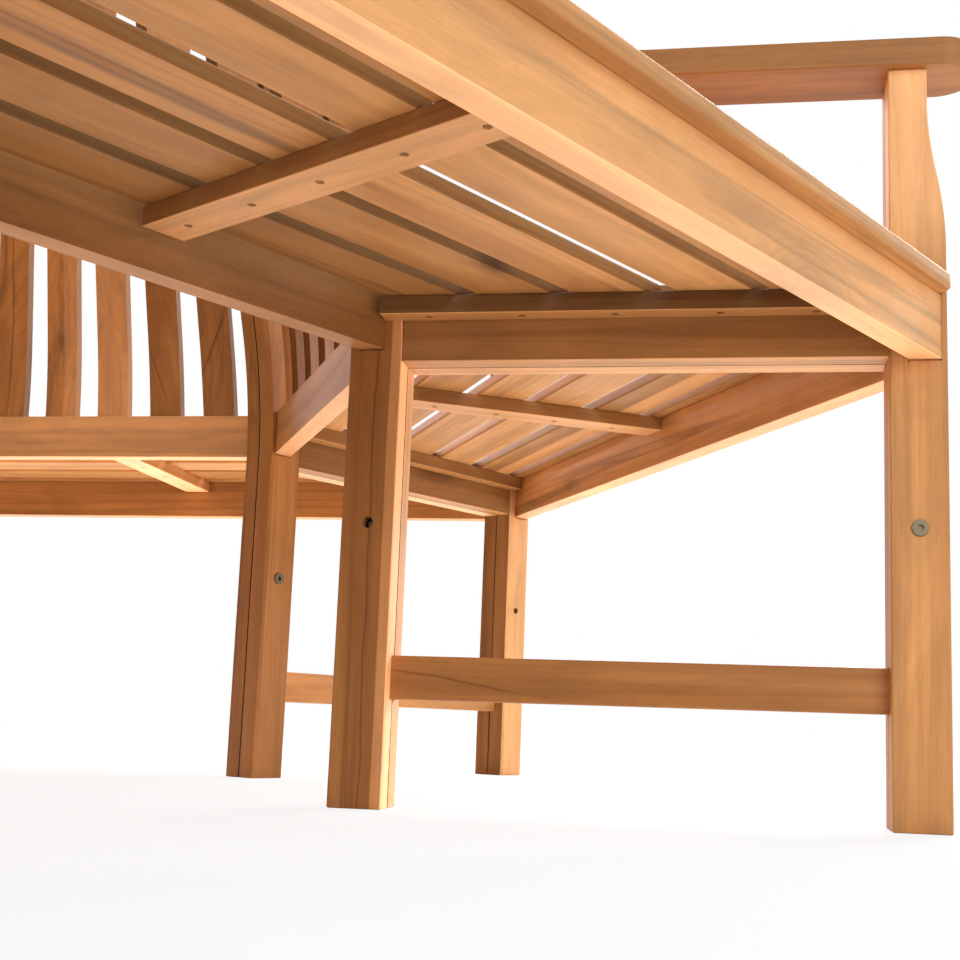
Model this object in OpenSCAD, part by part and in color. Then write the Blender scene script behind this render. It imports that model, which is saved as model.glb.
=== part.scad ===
// Six-sided teak bench that stands around a tree. Six seat segments meet at
// six radial frames; every frame is a pair of half frames bolted face to face.
// Origin: centre of the ring, on the floor. +Z up. Frame 1 lies along +X.

/* [Ring] */
// Distance from the tree axis to the middle of an inner post
inner_post_r = 513; // [470:1:560]
// Distance from the tree axis to the middle of an outer leg
outer_leg_r = 958.5; // [900:0.5:1010]
// Height of the sitting surface above the floor
seat_h = 435; // [400:1:480]
// Thickness of one half frame, across the radial plane
half_t = 23.5; // [20:0.5:30]
// Dark seam left between two half frames
seam = 0.4; // [0.3:0.1:0.8]

/* [Posts and legs] */
// Width of an inner post along the radius
post_w = 45; // [38:1:55]
// Width of an outer leg along the radius
leg_w = 45; // [38:1:55]
// Height of the inner posts above the floor
post_h = 880; // [800:5:950]
// Radius of the curve that leans the backrest towards the tree
lean_r = 720; // [500:10:1000]
// Lean of the straight upper stretch of the backrest
lean_angle = 13; // [8:0.5:16]
// Narrowest width of an outer leg, under the armrest
leg_neck_w = 31; // [26:1:36]
// Radius of the curve that narrows an outer leg
neck_r = 320; // [250:10:500]
// Height above the seat at which an outer leg starts to narrow
neck_start = 25; // [10:1:40]
// Rounding on the upper corners of an inner post
post_top_r = 12; // [4:1:18]

/* [Seat frame] */
// Height of a side rail
rail_h = 63; // [55:1:80]
// Length of a side rail's tenons
rail_tenon = 22; // [12:1:30]
// Thickness of a side rail's tenons
tenon_t = 9; // [6:1:11]
// Shoulder above and below a side rail's tenons
tenon_shoulder = 9; // [5:1:14]
// Wood between a side rail's tenons and the seam
tenon_wall = 3; // [2:0.5:5]
// Height of a stretcher
stretcher_h = 36; // [28:1:45]
// Thickness of a stretcher
stretcher_t = 19; // [14:1:26]
// Height of the underside of a stretcher above the floor
stretcher_z = 89; // [60:1:160]
// Depth of the housings that hold the stretchers
stretcher_housing = 14; // [8:1:18]
// Thickness of an outer apron
apron_t = 22.5; // [18:0.5:28]
// Height of an outer apron
apron_h = 53; // [45:1:65]
// Thickness of an inner rail
inner_rail_t = 21; // [18:0.5:28]
// Height of an inner rail
inner_rail_h = 51.5; // [45:0.5:62]
// How far the top of an inner rail lies below the sitting surface
inner_rail_drop = 0.5; // [0.5:0.5:6]
// Depth to which aprons, inner rails and top rails enter the posts
housing = 4; // [3:0.5:5]
// Play around a housed board
fit = 0.3; // [0.2:0.1:0.5]
// Open slit under a housed apron or inner rail
housing_slit = 1.5; // [0.5:0.5:3]
// Wood left beside an apron or inner rail on the face of its post
board_inset = 5; // [3:0.5:8]

/* [Seat] */
// Number of seat slats in a segment, the edge slat included
slat_count = 6; // [4:1:7]
// Thickness of a seat slat
slat_t = 12; // [10:0.5:20]
// Even gap between seat slats
slat_gap = 15.3; // [10:0.1:18]
// How far the hand-set slats may lie off their even places
slat_uneven = 3; // [0.5:0.5:3.5]
// Seed of the uneven places
uneven_seed = 6826; // [1:1:9999]
// Width of the edge slat
edge_slat_w = 48.6; // [40:0.2:60]
// How far the edge slat reaches past the apron
edge_overhang = 13; // [5:1:20]
// Rounding on the free corners of the edge slat
edge_corner_r = 12; // [5:1:18]
// Gap between an inner rail and the first slat
first_gap = 10.5; // [6:0.5:14]
// Width of the cleats on the side rails
cleat_w = 21; // [16:1:26]
// Height of the cleats on the side rails
cleat_h = 16; // [14:0.5:24]
// Width of a middle batten
batten_w = 36; // [24:1:50]
// Height of a middle batten
batten_h = 15; // [12:1:25]
// Sideways offset of the middle battens from the middle of a segment
batten_shift = 4; // [-10:1:10]
// Gap between an inner rail and the end of a middle batten
batten_gap = 12; // [1:1:16]

/* [Backrest] */
// Number of back slats in a segment
back_count = 6; // [4:1:7]
// Width of a back slat
back_w = 39.5; // [30:0.5:48]
// Thickness of a back slat
back_t = 13; // [10:0.5:15]
// Spacing of the back slats where they leave the inner rail
back_pitch = 69.8; // [60:0.2:72]
// Sideways offset of the back slats from the middle of a segment
back_shift = -9.5; // [-12:0.5:12]
// Depth to which the back slats enter the rails
back_housing = 15; // [8:1:20]
// Height of a back top rail
top_rail_h = 62; // [45:1:80]
// Thickness of a back top rail
top_rail_t = 24; // [20:1:30]
// How far the top rails lie below the tops of the posts
top_rail_drop = 22; // [10:1:40]

/* [Armrests] */
// Height of the top of an armrest above the sitting surface
arm_h = 205; // [180:1:230]
// Thickness of an armrest
arm_t = 24; // [20:1:30]
// Width of an armrest
arm_w = 62; // [55:1:80]
// How far an armrest reaches past the outer leg
arm_overhang = 28; // [10:1:45]
// Length of the tenons in an armrest joint
arm_tenon = 14; // [8:1:18]
// Width of the tenons in an armrest joint
arm_tenon_w = 30; // [20:1:40]
// Shoulder in front of and behind the tenons on the outer legs
arm_tenon_shoulder = 5; // [3:1:8]
// Height of the tongue at the back end of an armrest
arm_tongue_h = 12; // [8:1:16]

/* [Fasteners] */
// Height of the frame bolts above the floor
bolt_z = 234; // [190:1:280]
// Diameter of a frame bolt
bolt_d = 6; // [5:0.5:8]
// Diameter of a frame bolt's head
bolt_head_d = 13; // [10:0.5:16]
// Thickness of a frame bolt's head
bolt_head_t = 4; // [3:0.5:5]
// Width across the flats of the socket in a bolt's head
bolt_socket = 5; // [3:0.5:6]
// Depth of a bolt's socket
bolt_socket_depth = 2.5; // [1.5:0.5:3]
// Depth of the recess round a bolt's head
bolt_recess = 2.5; // [1:0.5:6]
// Outer diameter of a sleeve nut
nut_d = 9; // [8:0.5:11]
// Length of a sleeve nut
nut_len = 14; // [10:1:16]
// Depth at which a sleeve nut lies below the wood
nut_sunk = 12; // [5:0.5:14]
// Diameter of a slat screw
screw_d = 4; // [3:0.5:5]
// Diameter of a slat screw's head
screw_head_d = 6; // [5.5:0.5:9]
// Length of a slat screw's head
screw_head_t = 3; // [2:0.5:4]
// Depth at which a slat screw's head lies below the wood
screw_sunk = 4; // [1:0.5:6]
// How far a slat screw enters the slat
screw_bite = 8; // [5:0.5:9]

/* [Hidden] */
$fn = 48;
sides = 6;
half_angle = 180 / sides;
face = half_t;
slat_z = seat_h - slat_t;
rail_z = seat_h - rail_h;
post_in = inner_post_r - post_w / 2;
post_out = inner_post_r + post_w / 2;
leg_in = outer_leg_r - leg_w / 2;
leg_out = outer_leg_r + leg_w / 2;
apron_z = slat_z - apron_h;
apron_out = across(leg_out - board_inset, face);
apron_a = apron_out - apron_t;
inner_rail_top = seat_h - inner_rail_drop;
inner_rail_z = inner_rail_top - inner_rail_h;
inner_rail_a = across(post_in + board_inset, face);
inner_rail_out = inner_rail_a + inner_rail_t;
back_a = inner_rail_a + inner_rail_t / 2;
edge_out = apron_out + edge_overhang;
edge_in = edge_out - edge_slat_w;
slats_in = inner_rail_out + first_gap;
inner_slats = slat_count - 1;
slat_w = (edge_in - slats_in - inner_slats * slat_gap) / inner_slats;
slat_step = slat_w + slat_gap;
arm_top = seat_h + arm_h;
arm_z = arm_top - arm_t;
top_rail_top = post_h - top_rail_drop;
top_rail_z = top_rail_top - top_rail_h;
curve_top = lean_r * sin(lean_angle);
curve_steps = 10;
neck_drop = (leg_w - leg_neck_w) / 2;
neck_len = sqrt(neck_r * neck_r - pow(neck_r - neck_drop, 2));
neck_z = seat_h + neck_start;
neck_steps = 6;
corner_steps = 8;
overrun = 2;
tip_inset = 2;
slat_end = face + fit;
metal = "silver";
teak = "peru";
teak_dark = "sienna";
teak_light = "burlywood";

// Distance square to a segment of the point at radius u, v off a frame's plane
function across(u, v) = u * cos(half_angle) + v * sin(half_angle);

// Radius of the point at distance a square to a segment, v off a frame's plane
function radius_at(a, v) = (a - v * sin(half_angle)) / cos(half_angle);

// How far the backrest has moved towards the tree at height z
function lean(z) =
    let (h = z - rail_z)
    h <= 0 ? 0
    : h < curve_top ? lean_r - sqrt(lean_r * lean_r - h * h)
    : lean_r * (1 - cos(lean_angle)) + (h - curve_top) * tan(lean_angle);

// The same movement, square to a segment
function lean_a(z) = lean(z) * cos(half_angle);

// Side of frame j on which its outer leg's bolt has its head
function head_side(j) = j % 2 == 0 ? 1 : -1;

// Heights at which a leaning outline gets a point, between two levels
function lean_levels(z0, z1) = concat(
    [z0],
    [for (k = [0 : curve_steps])
        let (z = rail_z + curve_top * k / curve_steps)
        if (z > z0 + 1 && z < z1 - 1) z],
    [z1]
);

// Half the length of a segment at distance a, kept d clear of the frame planes
function half_len(a, d) = (a - d / sin(half_angle)) * tan(half_angle);

// Where inner slat k of segment i starts, and its middle
function slat_a(i, k) = slats_in + k * slat_step
    + rands(-slat_uneven, slat_uneven, inner_slats, uneven_seed + i)[k];
function slat_mid(i, k) = slat_a(i, k) + slat_w / 2;

// Middle of a cleat's length line at distance a
function cleat_s(a) = half_len(a, face + cleat_w / 2);

// How much the outer edge of a leg has come in at height z
function neck(z) =
    let (h = z - neck_z)
    h <= 0 ? 0
    : h < neck_len ? neck_r - sqrt(neck_r * neck_r - h * h)
    : h < 2 * neck_len ? 2 * neck_drop - neck_r + sqrt(neck_r * neck_r - pow(2 * neck_len - h, 2))
    : 2 * neck_drop;

// Heights at which a leg's outer edge gets a point, up to level z1
function neck_levels(z1) = concat(
    [for (k = [0 : 2 * neck_steps])
        let (z = neck_z + neck_len * k / neck_steps)
        if (z < z1 - 1) z],
    [z1]
);

module at_frame(j) {
    rotate([0, 0, 2 * half_angle * (j - 1)]) children();
}

module at_segment(i) {
    rotate([0, 0, 2 * half_angle * (i - 1) + half_angle]) children();
}

// Stands a radius-height outline up and gives it its thickness across the radial plane
module upright(v0, v1) {
    translate([0, v1, 0]) rotate([90, 0, 0]) linear_extrude(v1 - v0) children();
}

// One half of a frame, and its mirror image beyond the seam
module both_halves() {
    children();
    mirror([0, 1, 0]) children();
}

// Straight board of a segment, its ends mitred parallel to the frames
module board(a0, a1, z0, z1, d) {
    translate([0, 0, z0]) linear_extrude(z1 - z0)
        polygon([
            [a0, -half_len(a0, d)], [a1, -half_len(a1, d)],
            [a1, half_len(a1, d)], [a0, half_len(a0, d)]
        ]);
}

module segment_space(d) {
    translate([0, 0, -overrun]) linear_extrude(post_h + 2 * overrun)
        polygon([
            [d / sin(half_angle), 0],
            [outer_leg_r, -half_len(outer_leg_r, d)],
            [outer_leg_r, half_len(outer_leg_r, d)]
        ]);
}

// Outline of an inner post: upright below the seat, leaning back above it
module post_outline() {
    levels = lean_levels(0, post_h - post_top_r);
    crown = inner_post_r - lean(post_h);
    polygon(concat(
        [for (z = levels) [post_out - lean(z), z]],
        [[crown + post_w / 2 - post_top_r, post_h], [crown - post_w / 2 + post_top_r, post_h]],
        [for (k = [len(levels) - 1 : -1 : 0]) [post_in - lean(levels[k]), levels[k]]]
    ));
}

// Outline of an outer leg: its outer edge sweeps in above the seat
module leg_outline(top) {
    levels = neck_levels(top);
    polygon(concat(
        [[leg_in, 0], [leg_out, 0]],
        [for (z = levels) [leg_out - neck(z), z]],
        [[leg_in, top]]
    ));
}

module apron_board(play, slit, d) {
    board(apron_a - play, apron_out + play, apron_z - slit, slat_z + play, d);
}

module inner_rail_board(play, slit, d) {
    board(inner_rail_a - play, inner_rail_out + play, inner_rail_z - slit, inner_rail_top + play, d);
}

// Leaning section of a back piece, drawn at distance a from the axis
module leaning_outline(t, z0, z1) {
    levels = lean_levels(z0, z1);
    polygon(concat(
        [for (z = levels) [back_a + t / 2 - lean_a(z), z]],
        [for (k = [len(levels) - 1 : -1 : 0]) [back_a - t / 2 - lean_a(levels[k]), levels[k]]]
    ));
}

module top_rail_board(play, d) {
    intersection() {
        upright(-outer_leg_r, outer_leg_r)
            leaning_outline(top_rail_t + 2 * play, top_rail_z - play, top_rail_top + play);
        segment_space(d);
    }
}

// Back slat k of a segment. The slats fan in, because the ring narrows upwards.
module back_slat(k, play) {
    s0 = back_shift + (k - (back_count - 1) / 2) * back_pitch;
    run = top_rail_z - inner_rail_top;
    shrink = (lean_a(top_rail_z) - lean_a(inner_rail_top)) / back_a;
    tilt = atan(s0 * shrink / run);
    translate([0, s0, inner_rail_top]) rotate([tilt, 0, 0]) translate([0, 0, -inner_rail_top])
        upright(-back_w / 2 - play, back_w / 2 + play)
            leaning_outline(back_t + 2 * play, inner_rail_top - back_housing - play,
                top_rail_z + back_housing + play);
}

module back_slat_mortises() {
    for (k = [0 : back_count - 1]) back_slat(k, fit);
}

// Side rail's tenon in one half frame, at radius u
module rail_tenon_block(u, play) {
    translate([u - play, seam / 2 + tenon_wall - play, rail_z + tenon_shoulder - play])
        cube([rail_tenon + 2 * play, tenon_t + 2 * play, rail_h - 2 * (tenon_shoulder - play)]);
}

module stretcher_block(play) {
    translate([post_out - stretcher_housing - play, -stretcher_t / 2 - play, stretcher_z - play])
        cube([
            leg_in - post_out + 2 * (stretcher_housing + play),
            stretcher_t + 2 * play,
            stretcher_h + 2 * play
        ]);
}

// Holes for a frame bolt at radius u; its head is on side +1 or -1 of the frame
module bolt_bore(u, side) {
    translate([u, 0, bolt_z]) rotate([-90 * side, 0, 0]) {
        cylinder(h = 2 * (face + overrun), d = bolt_d + 2 * fit, center = true);
        translate([0, 0, face - bolt_recess])
            cylinder(h = bolt_recess + overrun, d = bolt_head_d + 2 * fit);
        translate([0, 0, -face - overrun])
            cylinder(h = overrun + nut_sunk + nut_len + fit, d = nut_d + 2 * fit);
    }
}

module bolt(u, side) {
    translate([u, 0, bolt_z]) rotate([-90 * side, 0, 0]) difference() {
        union() {
            translate([0, 0, face - bolt_recess]) cylinder(h = bolt_head_t, d = bolt_head_d);
            translate([0, 0, nut_sunk + tip_inset - face])
                cylinder(h = 2 * face - bolt_recess - nut_sunk - tip_inset, d = bolt_d);
        }
        translate([0, 0, face - bolt_recess + bolt_head_t - bolt_socket_depth])
            cylinder(h = bolt_socket_depth + overrun, d = bolt_socket / cos(30), $fn = 6);
    }
}

module sleeve_nut(u, side) {
    translate([u, 0, bolt_z]) rotate([-90 * side, 0, 0]) translate([0, 0, nut_sunk - face])
        difference() {
            cylinder(h = nut_len, d = nut_d);
            translate([0, 0, -overrun]) cylinder(h = nut_len + 2 * overrun, d = bolt_d + fit);
        }
}

// Places of the screws under the slats of segment i: on the middle batten and on both cleats
module batten_screw_spots(i) {
    for (k = [0 : inner_slats - 1])
        translate([slat_mid(i, k), batten_shift, slat_z - batten_h]) children();
}

module cleat_screw_spots(i) {
    for (k = [0 : inner_slats - 1])
        for (side = [-1, 1])
            translate([slat_mid(i, k), side * cleat_s(slat_mid(i, k)), slat_z - cleat_h]) children();
}

// A screw through a piece of height h, its head sunk into the underside
module screw(h) {
    translate([0, 0, screw_sunk]) {
        cylinder(h = screw_head_t, d = screw_head_d);
        cylinder(h = h - screw_sunk + screw_bite, d = screw_d);
    }
}

module screw_hole(h) {
    translate([0, 0, -overrun])
        cylinder(h = overrun + screw_sunk + screw_head_t, d = screw_head_d + fit);
    cylinder(h = h + screw_bite + fit / 2, d = screw_d + fit);
}

module segment_screw_holes(i) {
    batten_screw_spots(i) screw_hole(batten_h);
    cleat_screw_spots(i) screw_hole(cleat_h);
}

// Seat slats of a segment: the inner slats, then the edge slat over the apron
module seat_slats(i) {
    color(teak) at_segment(i) difference() {
        union() {
            for (k = [0 : inner_slats - 1])
                board(slat_a(i, k), slat_a(i, k) + slat_w, slat_z, seat_h, slat_end);
            edge_slat();
        }
        segment_screw_holes(i);
    }
}

// Edge slat, with its two free corners rounded
module edge_slat() {
    translate([0, 0, slat_z]) linear_extrude(slat_t) polygon(concat(
        [[edge_in, -half_len(edge_in, slat_end)]],
        [for (k = [corner_steps : -1 : 0]) edge_corner(-1, k)],
        [for (k = [0 : corner_steps]) edge_corner(1, k)],
        [[edge_in, half_len(edge_in, slat_end)]]
    ));
}

// Point k on the rounding between the edge slat's long edge and its mitred end
function edge_corner(side, k) =
    let (a = edge_out - edge_corner_r)
    let (s = half_len(a, slat_end) - edge_corner_r / cos(half_angle))
    let (turn = (90 + half_angle) * k / corner_steps)
    [a + edge_corner_r * cos(turn), side * (s + edge_corner_r * sin(turn))];

module back_slats(i) {
    color(teak_dark) at_segment(i) for (k = [0 : back_count - 1]) back_slat(k, 0);
}

module outer_apron(i) {
    color(teak_light) at_segment(i) apron_board(0, 0, face - housing);
}

module inner_rail(i) {
    color(teak) at_segment(i) difference() {
        inner_rail_board(0, 0, face - housing);
        back_slat_mortises();
    }
}

module top_rail(i) {
    color(teak_light) at_segment(i) difference() {
        top_rail_board(0, face - housing);
        back_slat_mortises();
    }
}

// Inner post: two halves, with pockets for every board that ends in them
module inner_post(j) {
    color(teak) at_frame(j) difference() {
        both_halves() upright(seam / 2, face) post_outline();
        for (side = [-1, 1]) rotate([0, 0, side * half_angle]) {
            inner_rail_board(fit, housing_slit, face - housing - fit);
            top_rail_board(fit, face - housing - fit);
        }
        both_halves() rail_tenon_block(post_out - rail_tenon, fit);
        stretcher_block(fit);
        arm_tongue(fit);
        bolt_bore(inner_post_r, -head_side(j));
    }
}

module outer_leg(j) {
    color(teak_light) at_frame(j) difference() {
        both_halves() {
            upright(seam / 2, face) leg_outline(arm_z);
            leg_tenon(0, seam / 2);
        }
        for (side = [-1, 1]) rotate([0, 0, side * half_angle])
            apron_board(fit, housing_slit, face - housing - fit);
        both_halves() rail_tenon_block(leg_in, fit);
        stretcher_block(fit);
        bolt_bore(outer_leg_r, head_side(j));
    }
}

// Tenon on top of an outer leg, from the seam outwards
module leg_tenon(play, v0) {
    translate([leg_in + arm_tenon_shoulder - play, v0, arm_z - overrun])
        cube([
            leg_neck_w - 2 * (arm_tenon_shoulder - play),
            arm_tenon_w / 2 + play - v0,
            arm_tenon + overrun + play
        ]);
}

module side_rail(j) {
    color(teak_dark) at_frame(j) both_halves() {
        translate([post_out, seam / 2, rail_z]) cube([leg_in - post_out, face - seam / 2, rail_h]);
        rail_tenon_block(post_out - rail_tenon, 0);
        rail_tenon_block(leg_in, 0);
    }
}

// Tongue at the back end of an armrest, inside the inner post
module arm_tongue(play) {
    z0 = arm_z + (arm_t - arm_tongue_h) / 2;
    back = post_out - lean(arm_z) - arm_tenon;
    translate([back - play, -arm_tenon_w / 2 - play, z0 - play])
        cube([2 * arm_tenon, arm_tenon_w + 2 * play, arm_tongue_h + 2 * play]);
}

// Armrest: rounded front end, back end cut to the slope of the inner post
module armrest(j) {
    back = inner_post_r - lean(arm_z);
    front = leg_out + arm_overhang - arm_w / 2;
    color(teak) at_frame(j) {
        difference() {
            translate([0, 0, arm_z]) linear_extrude(arm_t) union() {
                translate([back, -arm_w / 2]) square([front - back, arm_w]);
                translate([front, 0]) circle(d = arm_w);
            }
            upright(-arm_w, arm_w) post_outline();
            both_halves() leg_tenon(fit, 0);
        }
        arm_tongue(0);
    }
}

module stretchers() {
    color(teak_dark) for (j = [1 : sides]) at_frame(j) stretcher_block(0);
}

// Cleats: square-cut bars beside the side rails that carry the mitred ends of the slats
module cleats() {
    start = radius_at(inner_rail_out, face);
    end = radius_at(apron_a, face + cleat_w);
    color(teak_dark) for (i = [1 : sides]) at_segment(i) difference() {
        for (side = [-1, 1]) rotate([0, 0, side * half_angle])
            translate([start, side > 0 ? -face - cleat_w : face, slat_z - cleat_h])
                cube([end - start, cleat_w, cleat_h]);
        segment_screw_holes(i);
    }
}

// Middle battens: flat cross bars under the slats, from the apron nearly to the inner rail
module seat_battens() {
    start = inner_rail_out + batten_gap;
    color(teak_dark) for (i = [1 : sides]) at_segment(i) difference() {
        translate([start, batten_shift - batten_w / 2, slat_z - batten_h])
            cube([apron_a - start, batten_w, batten_h]);
        segment_screw_holes(i);
    }
}

module bolts() {
    color(metal) for (j = [1 : sides]) at_frame(j) {
        bolt(inner_post_r, -head_side(j));
        bolt(outer_leg_r, head_side(j));
    }
}

module sleeve_nuts() {
    color(metal) for (j = [1 : sides]) at_frame(j) {
        sleeve_nut(inner_post_r, -head_side(j));
        sleeve_nut(outer_leg_r, head_side(j));
    }
}

module slat_screws() {
    color(metal) for (i = [1 : sides]) at_segment(i) {
        batten_screw_spots(i) screw(batten_h);
        cleat_screw_spots(i) screw(cleat_h);
    }
}

for (i = [1 : sides]) {
    seat_slats(i);
    back_slats(i);
    outer_apron(i);
    inner_rail(i);
    top_rail(i);
    inner_post(i);
    outer_leg(i);
    side_rail(i);
    armrest(i);
}
stretchers();
cleats();
seat_battens();
bolts();
sleeve_nuts();
slat_screws();
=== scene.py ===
"""Six-sided teak bench that stands round a tree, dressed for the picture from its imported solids."""

import math
import random

import bmesh
import bpy
from mathutils import Matrix, Vector
from mathutils.bvhtree import BVHTree


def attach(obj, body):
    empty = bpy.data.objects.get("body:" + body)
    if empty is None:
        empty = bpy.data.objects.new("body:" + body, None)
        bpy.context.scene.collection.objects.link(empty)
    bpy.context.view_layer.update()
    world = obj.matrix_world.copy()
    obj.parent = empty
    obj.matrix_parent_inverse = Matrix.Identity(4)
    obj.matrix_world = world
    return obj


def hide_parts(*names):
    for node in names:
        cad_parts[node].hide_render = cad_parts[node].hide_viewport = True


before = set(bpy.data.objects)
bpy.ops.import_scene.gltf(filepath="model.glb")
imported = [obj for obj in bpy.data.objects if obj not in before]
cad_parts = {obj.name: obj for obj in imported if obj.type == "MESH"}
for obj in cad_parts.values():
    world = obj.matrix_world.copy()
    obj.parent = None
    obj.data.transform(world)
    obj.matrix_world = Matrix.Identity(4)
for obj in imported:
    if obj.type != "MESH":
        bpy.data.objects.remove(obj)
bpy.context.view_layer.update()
sides = 6
sector = 2 * math.pi / sides

# Picture: low beside the near seat, looking in under it. The lens, the centre of the picture and the
# camera's place come from the straight edges of the bench; the picture is square.
picture = 960
focal_px = 1346.24
centre_x, centre_y = 527.65, 524.24
camera_place = Vector((0.82065, -1.09716, 0.07196))
look_right = Vector((0.98755, 0.15369, 0.03348))
look_along = Vector((-0.15697, 0.97658, 0.14716))

lens = bpy.data.cameras.new("camera")
lens.sensor_width = 36
lens.lens = lens.sensor_width * focal_px / picture
lens.shift_x = (picture / 2 - centre_x) / picture
lens.shift_y = (centre_y - picture / 2) / picture
lens.clip_start = 0.01
camera = bpy.data.objects.new("camera", lens)
look_along.normalize()
look_right = (look_right - look_along * look_right.dot(look_along)).normalized()
look_up = look_right.cross(look_along)
camera.matrix_world = Matrix.Translation(camera_place) @ Matrix(
    (look_right, look_up, -look_along)
).transposed().to_4x4()
bpy.context.scene.collection.objects.link(camera)
bpy.context.scene.camera = camera

# Studio: a pale floor under a white surround, soft boxes high behind the bench and weaker ones on the
# camera's side, so that faces under the seat fall off into shade.
bpy.context.scene.view_settings.view_transform = "Standard"


def area_lamp(name, place, aim, width, height, power):
    """A soft box that shines from place towards aim."""
    light = bpy.data.lights.new(name, "AREA")
    light.shape = "RECTANGLE"
    light.size = width
    light.size_y = height
    light.energy = power
    lamp = bpy.data.objects.new(name, light)
    lamp.location = place
    lamp.rotation_mode = "QUATERNION"
    lamp.rotation_quaternion = (Vector(aim) - Vector(place)).to_track_quat("-Z", "Y")
    bpy.context.scene.collection.objects.link(lamp)


area_lamp("back_right_box", (2.3, 3.9, 2.6), (0, 0, 0.3), 2.6, 2.4, 390)
area_lamp("back_left_box", (-3.2, 3.2, 2.2), (0, 0, 0.3), 2.6, 2.4, 150)
area_lamp("back_high_box", (0.0, 3.5, 4.0), (0, 0, 0.2), 3.0, 2.4, 140)
area_lamp("front_right_box", (3.0, -3.6, 1.8), (0, 0, 0.3), 2.4, 2.2, 75)
area_lamp("front_high_box", (0.8, -3.5, 4.0), (0, 0, 0.2), 3.0, 2.4, 50)


class Wire:
    """An output of a shader node that takes part in plain arithmetic."""

    def __init__(self, tree, socket=None):
        self.tree = tree
        self.socket = socket

    def node(self, kind, settings, values, out=0):
        """A node of this kind: its settings first, then the values or wires of its sockets."""
        made = self.tree.nodes.new(kind)
        for name, value in settings.items():
            if name == "stops":
                ramp = made.color_ramp.elements
                while len(ramp) < len(value):
                    ramp.new(1)
                for stop, (position, grey) in zip(ramp, value):
                    stop.position = position
                    stop.color = (grey, grey, grey, 1)
            else:
                setattr(made, name, value)
        for name, value in values.items():
            if isinstance(value, Wire):
                self.tree.links.new(value.socket, made.inputs[name])
            else:
                made.inputs[name].default_value = value
        return Wire(self.tree, made.outputs[out])

    def maths(self, operation, a, b=0.0):
        return self.node("ShaderNodeMath", {"operation": operation}, {0: a, 1: b})

    def __add__(self, other):
        return self.maths("ADD", self, other)

    def __sub__(self, other):
        return self.maths("SUBTRACT", self, other)

    def __rsub__(self, other):
        return self.maths("SUBTRACT", other, self)

    def __mul__(self, other):
        return self.maths("MULTIPLY", self, other)

    __radd__ = __add__
    __rmul__ = __mul__

    def mixed(self, factor, a, b):
        """Colour a where factor is 0 and b where it is 1."""
        return self.node("ShaderNodeMix", {"data_type": "RGBA"}, {0: factor, 6: a, 7: b}, 2)


def fresh_material(name):
    """An empty node material, its tree and its output node."""
    material = bpy.data.materials.new(name)
    material.use_nodes = True
    tree = material.node_tree
    tree.nodes.clear()
    return material, Wire(tree), tree.nodes.new("ShaderNodeOutputMaterial")


def shown_to_viewer(tree):
    """1 for rays of the camera, of reflections and of transmission, and 0 for rays that light."""
    rays = tree.node("ShaderNodeLightPath", {}, {}, "Is Camera Ray")
    mirrored = Wire(tree.tree, rays.socket.node.outputs["Is Glossy Ray"])
    through = Wire(tree.tree, rays.socket.node.outputs["Is Transmission Ray"])
    return tree.maths("MINIMUM", rays + mirrored + through, 1.0)


surround_level = 0.06
world = bpy.data.worlds.new("surround")
world.use_nodes = True
bpy.context.scene.world = world
world.node_tree.nodes.clear()
sky = Wire(world.node_tree)
level = surround_level + shown_to_viewer(sky) * (1 - surround_level)
sky_end = world.node_tree.nodes.new("ShaderNodeOutputWorld")
white = sky.node("ShaderNodeBackground", {}, {"Color": (1, 1, 1, 1), "Strength": level})
sky.tree.links.new(white.socket, sky_end.inputs["Surface"])

# Floor: pale paper that keeps the bench's shadow near it and fades to plain white further off.
floor_size = 30
floor_white = 0.93
floor_glow = 0.85
shadow_reach = 1.6
white_from = 4.5
floor_mesh = bmesh.new()
bmesh.ops.create_grid(floor_mesh, x_segments=1, y_segments=1, size=floor_size)
floor_data = bpy.data.meshes.new("floor")
floor_mesh.to_mesh(floor_data)
floor_mesh.free()
floor = bpy.data.objects.new("floor", floor_data)
bpy.context.scene.collection.objects.link(floor)
paper, paint, paper_end = fresh_material("white_paper")
matte = paint.node("ShaderNodeBsdfDiffuse", {}, {"Color": (floor_white, floor_white, floor_white, 1)})
glow = paint.node("ShaderNodeEmission", {}, {"Color": (1, 1, 1, 1), "Strength": 1.0})
spot = paint.node("ShaderNodeTexCoord", {}, {}, "Object")
far = paint.node("ShaderNodeVectorMath", {"operation": "LENGTH"}, {0: spot}, "Value")
fade = paint.node(
    "ShaderNodeMapRange", {},
    {
        "Value": far, "From Min": shadow_reach, "From Max": white_from,
        "To Min": floor_glow, "To Max": 1.0,
    },
)
blend = paint.node("ShaderNodeMixShader", {}, {0: shown_to_viewer(paint) * fade, 1: matte, 2: glow})
paint.tree.links.new(blend.socket, paper_end.inputs["Surface"])
floor_data.materials.append(paper)


# Inner posts: each is a pair of sawn teak halves that stand face to face on the radial plane,
# upright below the seat and cut in a slow curve towards the tree above it. Edges are eased by hand.
# Tables of tones, knots, cracks and bands in this script go by number and then by solid, and hold the
# boards in the picture.
draw = random.Random(41)
weld = 0.00002
flat_angle = math.radians(0.4)
sharp_angle = math.radians(25)
shortest_edge = 0.0022
edge_round = 0.0018
nudge = 0.0004
reach = 0.2
same_way = 0.7
bore_facet = 0.000004
streak = 0.35


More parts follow.
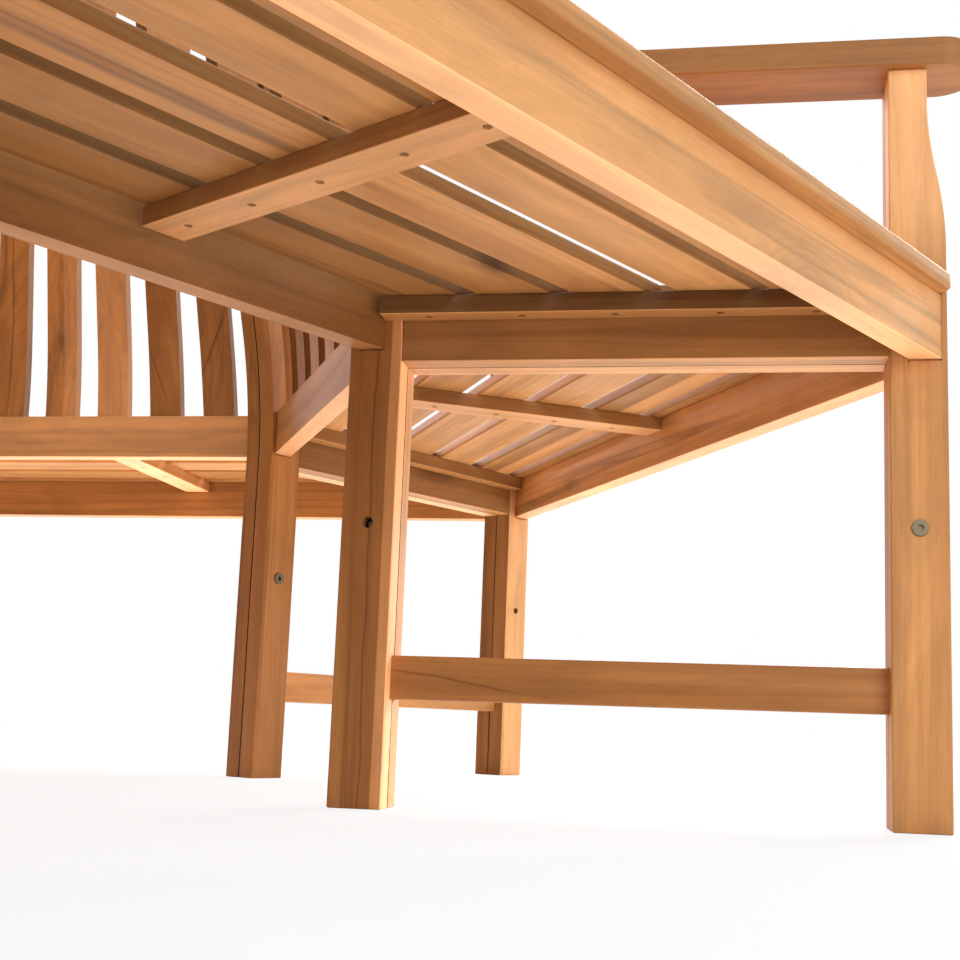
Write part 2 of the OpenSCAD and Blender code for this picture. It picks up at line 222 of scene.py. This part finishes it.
def teak(name, pale, deep, dark):
    """Oiled teak. The grain attribute runs along, across and through each board from its pith, tone
    holds a board's lightness, redness and streakiness, knot runs from the board's knot and knot_depth
    is its darkness, crack holds the way along and across from a dark line, the band attribute holds the
    way past the edge of a paler or darker band and its strength (sapwood on some boards, painted light
    on the upper part of one leg), and the face attribute holds painted light and shade: sides made
    paler or darker by the way they look."""
    material, wood, end = fresh_material(name)
    grain = wood.node("ShaderNodeAttribute", {"attribute_name": "grain"}, {}, "Vector")
    tone = wood.node("ShaderNodeAttribute", {"attribute_name": "tone"}, {}, "Vector")
    knot = wood.node("ShaderNodeAttribute", {"attribute_name": "knot"}, {}, "Vector")
    knot_depth = wood.node("ShaderNodeAttribute", {"attribute_name": "knot_depth"}, {}, "Fac")
    crack = wood.node("ShaderNodeAttribute", {"attribute_name": "crack"}, {}, "Vector")
    sapwood = wood.node("ShaderNodeAttribute", {"attribute_name": "sapwood"}, {}, "Vector")
    shade = wood.node("ShaderNodeAttribute", {"attribute_name": "shade"}, {}, "Fac")
    tone_parts = wood.node("ShaderNodeSeparateXYZ", {}, {0: tone})
    lightness = tone_parts
    redness = Wire(wood.tree, tone_parts.socket.node.outputs[1])
    streaky = Wire(wood.tree, tone_parts.socket.node.outputs[2])

    def stretched(along, across, detail, rough=0.5, distortion=0.0):
        """Noise in the board's own frame, so many cycles a metre along and across the grain."""
        place = wood.node(
            "ShaderNodeVectorMath", {"operation": "MULTIPLY"}, {0: grain, 1: (along, across, across)}
        )
        return wood.node(
            "ShaderNodeTexNoise",
            {},
            {
                "Vector": place, "Scale": 1.0, "Detail": detail, "Roughness": rough,
                "Distortion": distortion,
            },
        )

    def ramp(value, *stops):
        return wood.node("ShaderNodeValToRGB", {"stops": stops}, {0: value})

    # A knot bends the rings round it and darkens its own middle, or is a pale swirl.
    knot_far = wood.node("ShaderNodeVectorMath", {"operation": "MULTIPLY"}, {0: knot, 1: (38, 95, 20)})
    knot_reach = wood.node("ShaderNodeVectorMath", {"operation": "LENGTH"}, {0: knot_far}, "Value")
    knot_pull = wood.maths("EXPONENT", knot_reach * knot_reach * -0.6)

    # A dark line wanders a little and fades out at its ends.
    crack_parts = wood.node("ShaderNodeSeparateXYZ", {}, {0: crack})
    crack_off = Wire(wood.tree, crack_parts.socket.node.outputs[1])
    crack_wide = Wire(wood.tree, crack_parts.socket.node.outputs[2])
    crack_off = (crack_off + (stretched(9, 9, 2) - 0.5) * 0.012) * crack_wide
    crack_line = wood.maths("EXPONENT", crack_off * crack_off * -1.0)
    crack_fade = wood.maths("POWER", wood.maths("ABSOLUTE", crack_parts), 4.0)
    crack_end = wood.maths("EXPONENT", crack_fade * -1.0)
    crack_line = crack_line * crack_end
    # The band is sapwood on some boards and painted light on the upper part of one leg.
    sap_and_light_parts = wood.node("ShaderNodeSeparateXYZ", {}, {0: sapwood})
    sap_and_light_strength = Wire(wood.tree, sap_and_light_parts.socket.node.outputs[1])
    past = sap_and_light_parts + (stretched(6, 40, 2) - 0.5) * 1.2 + 0.5
    band = wood.maths("MINIMUM", wood.maths("MAXIMUM", past, 0.0), 1.0) * sap_and_light_strength

    parts = wood.node("ShaderNodeSeparateXYZ", {}, {0: grain})
    y = Wire(wood.tree, parts.socket.node.outputs[1])
    z = Wire(wood.tree, parts.socket.node.outputs[2])
    pith = wood.maths("SQRT", y * y + z * z)
    wander = stretched(1.3, 9, 2) - 0.5
    ripple = stretched(5, 60, 2) - 0.5
    ring_at = pith + wander * 0.034 + ripple * 0.0035 + knot_pull * 0.03
    uneven = wood.node(
        "ShaderNodeTexNoise", {"noise_dimensions": "1D"}, {"W": ring_at * 70, "Scale": 1.0, "Detail": 2.0}
    )
    ring = wood.maths("FRACT", ring_at * 165 + uneven * 2.2)
    late = ramp(ring, (0.0, 0.25), (0.12, 0.0), (0.6, 0.25), (0.88, 1.0), (1.0, 0.3))

    broad = ramp(stretched(1.6, 26, 3, 0.55), (0.3, 0.0), (0.7, 1.0))
    mottle = ramp(stretched(7, 24, 3, 0.6, 0.7), (0.3, 0.0), (0.7, 1.0))
    fibre = stretched(14, 560, 3, 0.6)
    vein = ramp(stretched(1.1, 34, 2, 0.5, 0.6), (0.55, 0.0), (0.63, 1.0), (0.68, 0.2), (0.75, 0.0))
    pores = ramp(stretched(70, 1500, 1, 0.4), (0.62, 0.0), (0.72, 1.0))

    colour = wood.mixed(broad * 0.8, (*pale, 1), (*deep, 1))
    colour = wood.mixed(late * (0.16 + streaky * 0.5), colour, (*deep, 1))
    colour = wood.mixed(vein * streaky, colour, (*dark, 1))
    knot_heart = wood.maths("MAXIMUM", knot_pull * knot_depth, 0.0)
    knot_swirl = wood.maths("MAXIMUM", knot_pull * knot_depth * -1.0, 0.0)
    colour = wood.mixed(knot_heart, colour, (*dark, 1))
    colour = wood.mixed(knot_swirl * (ripple + 0.9), colour, (*pale, 1))
    colour = wood.mixed(crack_line * 0.85, colour, (*dark, 1))
    colour = wood.mixed(pores * 0.2, colour, (*dark, 1))
    colour = wood.mixed(redness, colour, (0.46, 0.165, 0.045, 1))
    # Painted light and shade come in with the face factor: the palest boards and the most brightly
    # painted faces are mixed towards cream, which on the painted faces is a painted highlight.
    paleness_and_painted_light = lightness * shade * (1.0 + band)
    cream_of_pale_and_lit = wood.maths("MINIMUM", wood.maths("MAXIMUM", (paleness_and_painted_light - 1.0) * 0.42, 0.0), 0.45)
    colour = wood.mixed(cream_of_pale_and_lit, colour, (0.6, 0.40, 0.24, 1))
    glow = paleness_and_painted_light * (0.86 + fibre * 0.28) * (0.86 + mottle * 0.26)
    colour = wood.node("ShaderNodeVectorMath", {"operation": "SCALE"}, {0: colour, "Scale": glow})

    # Sides with painted shade are made rougher, so that they show less gloss.
    painted_darkness = wood.maths("MAXIMUM", 1.0 - shade, 0.0)
    rough = 0.36 + fibre * 0.16 + late * 0.05 + painted_darkness * 0.6
    relief = fibre * 0.6 - pores * 0.5 - late * 0.15
    bump = wood.node(
        "ShaderNodeBump", {}, {"Strength": 0.35, "Distance": 0.0004, "Height": relief}
    )
    surface = wood.node(
        "ShaderNodeBsdfPrincipled",
        {},
        {"Base Color": colour, "Roughness": rough, "Normal": bump, "IOR": 1.38},
    )
    wood.tree.links.new(surface.socket, end.inputs["Surface"])
    return material


def solids_of(node):
    """The node's solids, each a welded bmesh with its flat faces joined."""
    whole = bmesh.new()
    whole.from_mesh(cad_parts[node].data)
    bmesh.ops.remove_doubles(whole, verts=whole.verts, dist=weld)
    whole.faces.index_update()
    number = {}
    count = 0
    for first in whole.faces:
        if first.index in number:
            continue
        number[first.index] = count
        waiting = [first]
        while waiting:
            for edge in waiting.pop().edges:
                for face in edge.link_faces:
                    if face.index not in number:
                        number[face.index] = count
                        waiting.append(face)
        count += 1
    solids = []
    for k in range(count):
        part = whole.copy()
        part.faces.ensure_lookup_table()
        others = [part.faces[i] for i, n in number.items() if n != k]
        bmesh.ops.delete(part, geom=others, context="FACES")
        bmesh.ops.dissolve_limit(
            part, angle_limit=flat_angle, verts=part.verts, edges=part.edges, delimit=set()
        )
        solids.append(part)
    whole.free()
    return solids


def ease(part, radius, segments=3):
    """Rounds the outer edges. The rims of mortises and bores, where two walls face, stay crisp."""
    part.normal_update()
    tree = BVHTree.FromBMesh(part)
    outer = []
    for edge in part.edges:
        if len(edge.link_faces) != 2 or edge.calc_length() < shortest_edge:
            continue
        if not edge.is_convex or edge.calc_face_angle() < sharp_angle:
            continue
        middle = (edge.verts[0].co + edge.verts[1].co) / 2
        normals = [face.normal for face in edge.link_faces]
        start = middle - (normals[0] + normals[1]) * nudge
        free = True
        for normal in normals:
            hit = tree.ray_cast(start + normal * 3 * nudge, normal, reach)
            free = free and hit[0] is None
        if free:
            outer.append(edge)
    bmesh.ops.bevel(
        part, geom=outer, offset=radius, offset_type="OFFSET", affect="EDGES", segments=segments,
        profile=0.5, material=-1, clamp_overlap=True,
    )


def centre_of(part):
    """Middle of a part's box."""
    low = Vector(min(v.co[k] for v in part.verts) for k in range(3))
    high = Vector(max(v.co[k] for v in part.verts) for k in range(3))
    return (low + high) / 2


def lay_grain(part, along, face, tone, pith, knot=None, crack=None, band=None, painted_lights=()):
    """Writes the board's own frame on its vertices: along the grain, across its face, and through it.
    A knot is its place, its size and its darkness; a crack its middle along and across, its slope, its
    half length and its half width; a band its slopes along and across, where it starts, the width of
    its soft edge and its strength. Painted light and shade go on per face: sides that look a given way
    are made paler or darker, and a factor without a direction paints light into the narrow facets of
    bores, so that they look less shaded."""
    along = along.normalized()
    through = (face - along * face.dot(along)).normalized()
    across = through.cross(along)
    middle = centre_of(part)
    shift = draw.uniform(-40, 40)
    grain = part.verts.layers.float_vector.new("grain")
    tones = part.verts.layers.float_vector.new("tone")
    knots = part.verts.layers.float_vector.new("knot")
    depths = part.verts.layers.float.new("knot_depth")
    cracks = part.verts.layers.float_vector.new("crack")
    bands = part.verts.layers.float_vector.new("sapwood")
    shade = part.faces.layers.float.new("shade")
    part.normal_update()
    # Painted light and shade: each face gets a factor by the way it looks, paler or darker.
    for side in part.faces:
        side[shade] = 1.0
        for direction, factor in painted_lights:
            if direction is None:
                chosen = side.calc_area() < bore_facet
            else:
                chosen = side.normal.dot(direction) > same_way
            if chosen:
                side[shade] = factor
    for vert in part.verts:
        place = vert.co - middle
        local = Vector((place.dot(along), place.dot(across), place.dot(through)))
        vert[grain] = (local.x + shift, local.y - pith[0], local.z - pith[1])
        vert[tones] = tone
        vert[knots] = (9, 9, 9)
        if knot:
            vert[knots] = (local - Vector(knot[:3])) / knot[3]
            vert[depths] = knot[4]
        vert[cracks] = (9, 9, 9)
        if crack:
            on, off, slope, half, thick = crack
            way = local.x - on
            vert[cracks] = (way / half, local.y - off - slope * way, 1 / thick)
        if band:
            lengthwise, crosswise, start, soft, strength = band
            beyond = lengthwise * local.x + crosswise * local.y - start
            vert[bands] = (beyond / soft, strength, 0)


def random_pith():
    """Where the heart of the log lay beside the board: mostly flat-sawn boards, some rift-sawn."""
    side = draw.choice((-1, 1))
    return draw.uniform(-0.05, 0.05), side * draw.uniform(0.03, 0.12)


def random_tone():
    """Lightness, redness and streakiness of a board that has none of its own in a table."""
    return draw.uniform(0.8, 1.2), draw.uniform(0.0, 0.35), streak * draw.uniform(0.2, 1.6)


def dress(
    node, material, along, face, order=None, radius=edge_round, tones={}, knots={}, cracks={},
    bands={}, painted_lights=None,
):
    """Replaces a CAD node by its own solids with eased edges and grain. along and face give a solid's
    grain direction and the direction that its face looks, from the solid's centre, and the painted
    light gives the directions whose sides are painted paler or darker, as light and shade. Tones,
    knots, cracks and bands go by a solid's place in order."""
    parts = solids_of(node)
    if order:
        parts.sort(key=lambda part: order(centre_of(part)))
    joined = bpy.data.meshes.new(node + "_teak")
    whole = bmesh.new()
    for k, part in enumerate(parts):
        middle = centre_of(part)
        ease(part, radius)
        tone = random_tone()
        pith = random_pith()
        lay_grain(
            part, along(middle), face(middle), tones.get(k, tone), pith, knots.get(k), cracks.get(k),
            bands.get(k), painted_lights(middle) if painted_lights else (),
        )
        single = bpy.data.meshes.new("solid")
        part.to_mesh(single)
        part.free()
        whole.from_mesh(single)
        bpy.data.meshes.remove(single)
    whole.to_mesh(joined)
    whole.free()
    joined.materials.append(material)
    joined.shade_smooth()
    joined.set_sharp_from_angle(angle=math.radians(50))
    piece = bpy.data.objects.new(node + "_teak", joined)
    bpy.context.scene.collection.objects.link(piece)
    weights = piece.modifiers.new("weighted", "WEIGHTED_NORMAL")
    weights.keep_sharp = True
    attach(piece, "root")
    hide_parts(node)
    return piece


def radial(number):
    """Direction of frame number, away from the tree."""
    return Vector((math.cos(sector * (number - 1)), math.sin(sector * (number - 1)), 0))


def outward(number):
    """Direction that seat segment number faces."""
    return Vector((math.cos(sector * (number - 0.5)), math.sin(sector * (number - 0.5)), 0))


def tangent(direction):
    return Vector((-direction.y, direction.x, 0))


upward = Vector((0, 0, 1))
post_tones = {
    1: {0: (0.85, 0.15, 0.5), 1: (1.1, 0.0, 0.3)},
    2: {0: (1.0, 0.0, 0.4), 1: (0.9, 0.05, 0.4)},
}
post_cracks = {1: {0: (-0.25, 0.0495, 0.0, 0.3, 0.0007)}}
post_bands = {1: {0: (0, 1, 0.061, 0.0015, 0.75)}}
post_round = 0.0015
# Painted shade: the faces where the two halves meet, with their eased edges, are darkened so that the
# seam between them reads as a shaded groove.
seam_painted_shade = 0.1
# Painted light: the side of each inner post that looks away from the tree is made paler, as where light
# falls on it.
post_outward_painted_light = 1.8
post_teak = teak("teak_posts", (0.66, 0.31, 0.095), (0.38, 0.15, 0.033), (0.13, 0.05, 0.013))
for number in range(1, sides + 1):
    side = tangent(radial(number))
    dress(
        f"inner_post_{number}", post_teak,
        lambda middle: upward, lambda middle: side, order=lambda middle: middle.dot(side),
        radius=post_round, tones=post_tones.get(number, {}), cracks=post_cracks.get(number, {}),
        bands=post_bands.get(number, {}), painted_lights=lambda middle: [
            (radial(number), post_outward_painted_light),
            (-side if middle.dot(side) > 0 else side, seam_painted_shade),
        ],
    )

# Outer legs: pairs of teak halves like the posts, straight up to the seat and swept in above it to
# the armrest.
leg_tones = {
    1: {0: (1.23, 0.0, 0.35), 1: (1.1, 0.1, 0.4)},
    2: {0: (1.5, 0.0, 0.25), 1: (1.4, 0.1, 0.4)},
}
# Painted light: a pale band over the upper part of leg 1's near half, above the seat, where light falls
# on it.
leg_painted_light_bands = {1: {0: (1, 0, 0.14, 0.08, 0.45)}}
# Painted shade: the side of leg 2 that looks towards the tree is darkened for the shade on it.
leg_inward_painted_shade = {2: 0.36}
for number in range(1, sides + 1):
    side = tangent(radial(number))
    dress(
        f"outer_leg_{number}", post_teak,
        lambda middle: upward, lambda middle: side, order=lambda middle: middle.dot(side),
        radius=post_round, tones=leg_tones.get(number, {}), bands=leg_painted_light_bands.get(number, {}),
        painted_lights=lambda middle: [
            (-radial(number), leg_inward_painted_shade.get(number, 1.0)),
            (-side if middle.dot(side) > 0 else side, seam_painted_shade),
        ],
    )

# Side rails: deep teak boards, one in each half frame, tenoned into the post and the leg.
board_teak = teak("teak_boards", (0.66, 0.31, 0.10), (0.40, 0.16, 0.035), (0.15, 0.058, 0.014))
rail_tones = {
    1: {0: (0.74, 0.0, 0.3), 1: (0.9, 0.0, 0.4)},
    2: {0: (0.58, 0.0, 0.3), 1: (1.0, 0.1, 0.4)},
}
rail_knots = {2: {0: (0.0447, -0.006, -0.0158, 1.25, 0.75)}}
board_round = 0.001
# Painted light: the undersides of side rails, inner rails, aprons and cleats are made paler, standing in
# for light from the floor below.
under_painted_light = 1.8
painted_light_under = (-upward, under_painted_light)
for number in range(1, sides + 1):
    run = radial(number)
    side = tangent(run)
    dress(
        f"side_rail_{number}", board_teak,
        lambda middle: run, lambda middle: side, order=lambda middle: middle.dot(side),
        radius=board_round, tones=rail_tones.get(number, {}), knots=rail_knots.get(number, {}),
        painted_lights=lambda middle: [
            painted_light_under,
            (-side if middle.dot(side) > 0 else side, seam_painted_shade),
        ],
    )


def around(middle):
    """Angle of a place round the tree, from frame 1."""
    return math.atan2(middle.y, middle.x) % (2 * math.pi)


def away(middle):
    """Direction from the tree to a place."""
    return Vector((middle.x, middle.y, 0)).normalized()


# Stretchers: one teak bar low in each frame, housed in the halves of post and leg.
stretcher_tones = {0: (0.92, 0.15, 0.3), 1: (1.2, 0.0, 0.3)}
stretcher_cracks = {0: (-0.15, 0.0015, 0.15, 0.06, 0.0009)}
dress(
    "stretchers", board_teak, away, lambda middle: tangent(away(middle)), order=around,
    tones=stretcher_tones, cracks=stretcher_cracks,
)

# Outer aprons and inner rails: straight teak boards whose ends sit in housings in the legs and posts.
apron_tones = {6: {0: (1.53, 0.0, 0.5)}, 1: {0: (1.03, 0.05, 0.6)}, 2: {0: (0.85, 0.05, 0.4)}}
apron_knots = {6: {0: (0.25, -0.024, 0.006, 1.3, 0.6)}, 1: {0: (0.2485, -0.0107, -0.0167, 0.7, 0.6)}}
inner_rail_tones = {6: {0: (0.72, 0.05, 0.4)}, 1: {0: (1.05, 0.0, 0.4)}, 2: {0: (1.5, 0.0, 0.4)}}
inner_rail_knots = {6: {0: (0.0402, -0.0092, 0.0053, 0.9, -0.6)}}
# Painted light: the underside of apron 6 is made paler, as light from the floor below.
apron_painted_light_under = {6: (-upward, 1.55)}
for number in range(1, sides + 1):
    out = outward(number)
    run = tangent(out)
    for node, tones, knots, under in (
        ("outer_apron", apron_tones, apron_knots, apron_painted_light_under),
        ("inner_rail", inner_rail_tones, inner_rail_knots, {}),
    ):
        dress(
            f"{node}_{number}", board_teak, lambda middle: run, lambda middle: out,
            radius=board_round, tones=tones.get(number, {}), knots=knots.get(number, {}),
            painted_lights=lambda middle: [under.get(number, painted_light_under)],
        )

# Cleats and middle battens: square teak bars under the slats, screwed up into them.
def nearest_frame(middle):
    """Number of the frame beside a place."""
    return round(around(middle) / sector) % sides + 1


# Painted light: the narrow walls of the screw bores in cleats and battens are made paler, so that the
# shade inside the bores shows less.
bore_painted_light = 1.9
# Painted light: the batten undersides are made much paler, as light from the floor below.
batten_painted_light_under = 2.3
# Painted light and shade: cleat 11 is toned dark for the shade under the slats, and the undersides of the
# cleats at frame 1 on the near side are painted much paler, as light from below.
cleat_tones_and_painted_shade = {11: (0.34, 0.05, 0.4), 1: (0.62, 0.0, 0.4)}
cleat_painted_light_under = 3.4
dress(
    "cleats", board_teak, lambda middle: radial(nearest_frame(middle)),
    lambda middle: tangent(radial(nearest_frame(middle))), order=around, radius=board_round,
    tones=cleat_tones_and_painted_shade, painted_lights=lambda middle: [
        (-upward, cleat_painted_light_under if nearest_frame(middle) == 1 and middle.y < 0 else under_painted_light),
        (None, bore_painted_light),
    ],
)
# Painted shade: battens 5 and 0 are toned dark for the shade on their sides under the slats; their
# undersides are painted paler again.
batten_painted_shade_tones = {5: (0.67, 0.0, 0.3), 0: (0.58, 0.0, 0.3)}
dress(
    "seat_battens", board_teak, away, lambda middle: tangent(away(middle)), order=around,
    radius=board_round, tones=batten_painted_shade_tones,
    painted_lights=lambda middle: [(-upward, batten_painted_light_under), (None, bore_painted_light)],
)

# Seat slats: six teak boards a segment with mitred ends, the outermost a narrow edge slat with
# rounded corners over the apron.
slat_teak = teak("teak_slats", (0.68, 0.34, 0.11), (0.44, 0.18, 0.04), (0.16, 0.06, 0.015))
slat_tones = {
    6: {
        0: (0.8, 0.1, 0.4), 1: (0.98, 0.05, 0.4), 2: (1.25, 0.12, 0.8), 3: (1.33, 0.0, 0.3),
        4: (1.2, 0.0, 0.35), 5: (1.2, 0.0, 0.4),
    },
    1: {
        0: (1.3, 0.0, 0.3), 1: (1.1, 0.0, 0.3), 2: (1.2, 0.0, 0.3), 3: (1.2, 0.0, 0.3),
        4: (0.8, 0.2, 0.4), 5: (0.9, 0.1, 0.4),
    },
    2: {2: (1.3, 0.0, 0.3), 3: (1.38, 0.0, 0.3)},
}
slat_knots = {6: {1: (0.2294, -0.014, -0.006, 0.6, 0.9)}}
slat_bands = {1: {4: (0, -1, -0.0135, 0.004, 0.6)}}
slat_round = 0.0025
# Painted shade: the long sides of the seat slats, in the gaps between them, are darkened for the shade
# there; the outer side of the edge slat is left as it is.
slat_gap_painted_shade = {1: 0.75, 6: 0.5}
edge_slat_from = 0.81
for number in range(1, sides + 1):
    out = outward(number)
    run = tangent(out)
    dress(
        f"seat_slats_{number}", slat_teak,
        lambda middle: run, lambda middle: upward, order=lambda middle: middle.dot(out),
        radius=slat_round, tones=slat_tones.get(number, {}), knots=slat_knots.get(number, {}),
        bands=slat_bands.get(number, {}), painted_lights=lambda middle: [
            (-out, slat_gap_painted_shade.get(number, 0.9)),
            (out, 1.0 if middle.dot(out) > edge_slat_from else slat_gap_painted_shade.get(number, 0.9)),
        ],
    )

# Back slats: six upright teak slats a segment, sawn to the curve of the posts, let into the inner
# rail below and the top rail above.
back_teak = teak("teak_back", (0.62, 0.27, 0.07), (0.35, 0.13, 0.03), (0.10, 0.038, 0.011))
back_slat_tones = {
    2: {
        4: (1.05, 0.1, 0.6), 3: (1.1, 0.1, 0.4), 2: (1.5, 0.0, 0.25), 1: (0.85, 0.1, 0.4),
        0: (0.8, 0.1, 0.3),
    },
}
back_slat_knots = {2: {3: (-0.0852, -0.0013, 0.0146, 0.4, 0.7)}}
back_slat_cracks = {
    2: {
        4: (-0.066, -0.0042, 0.049, 0.13, 0.0009), 1: (-0.132, -0.0004, -0.447, 0.03, 0.0007),
        0: (-0.087, 0.0068, 0.359, 0.045, 0.0011),
    },
}
back_slat_bands = {2: {3: (0, 1, 0.002, 0.003, 0.3)}}
# Painted shade: the narrow sides of the back slats, in the gaps between them, are darkened for the shade
# there.
back_side_painted_shade = 0.4
for number in range(1, sides + 1):
    out = outward(number)
    run = tangent(out)
    dress(
        f"back_slats_{number}", back_teak,
        lambda middle: upward, lambda middle: out, order=lambda middle: middle.dot(run),
        tones=back_slat_tones.get(number, {}), knots=back_slat_knots.get(number, {}),
        cracks=back_slat_cracks.get(number, {}), bands=back_slat_bands.get(number, {}),
        painted_lights=lambda middle: [(run, back_side_painted_shade), (-run, back_side_painted_shade)],
    )

# Top rails: teak boards that cap the back slats between the posts.
for number in range(1, sides + 1):
    out = outward(number)
    run = tangent(out)
    dress(f"top_rail_{number}", board_teak, lambda middle: run, lambda middle: out)

# Armrests: flat teak arms with rounded fronts, tenoned on the legs and tongued into the posts.
for number in range(1, sides + 1):
    run = radial(number)
    dress(f"armrest_{number}", board_teak, lambda middle: run, lambda middle: upward)

# Frame bolts, sleeve nuts and slat screws: the bolts are yellow-plated steel, turned and a little
# dull. The nuts and screws sit deep in their bores, and their near-black steel is painted shade.


def steel(name, bright, dull):
    """Steel whose colour and gloss change a little over its surface."""
    material, metal, end = fresh_material(name)
    place = metal.node("ShaderNodeTexCoord", {}, {}, "Object")
    cloud = metal.node("ShaderNodeTexNoise", {}, {"Vector": place, "Scale": 400.0, "Detail": 3.0})
    tint = metal.mixed(cloud, (*bright, 1), (*dull, 1))
    surface = metal.node(
        "ShaderNodeBsdfPrincipled", {},
        {"Base Color": tint, "Metallic": 1.0, "Roughness": cloud * 0.2 + 0.25},
    )
    metal.tree.links.new(surface.socket, end.inputs["Surface"])
    return material


plated = steel("plated_steel", (0.24, 0.19, 0.11), (0.15, 0.13, 0.09))
# Painted shade: the near-black steel stands in for the shade inside the bores.
shade_dark_steel = steel("painted_shade_steel", (0.02, 0.017, 0.014), (0.01, 0.008, 0.006))
for node, finish in (("bolts", plated), ("sleeve_nuts", shade_dark_steel), ("slat_screws", shade_dark_steel)):
    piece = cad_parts[node]
    piece.data.materials.clear()
    piece.data.materials.append(finish)
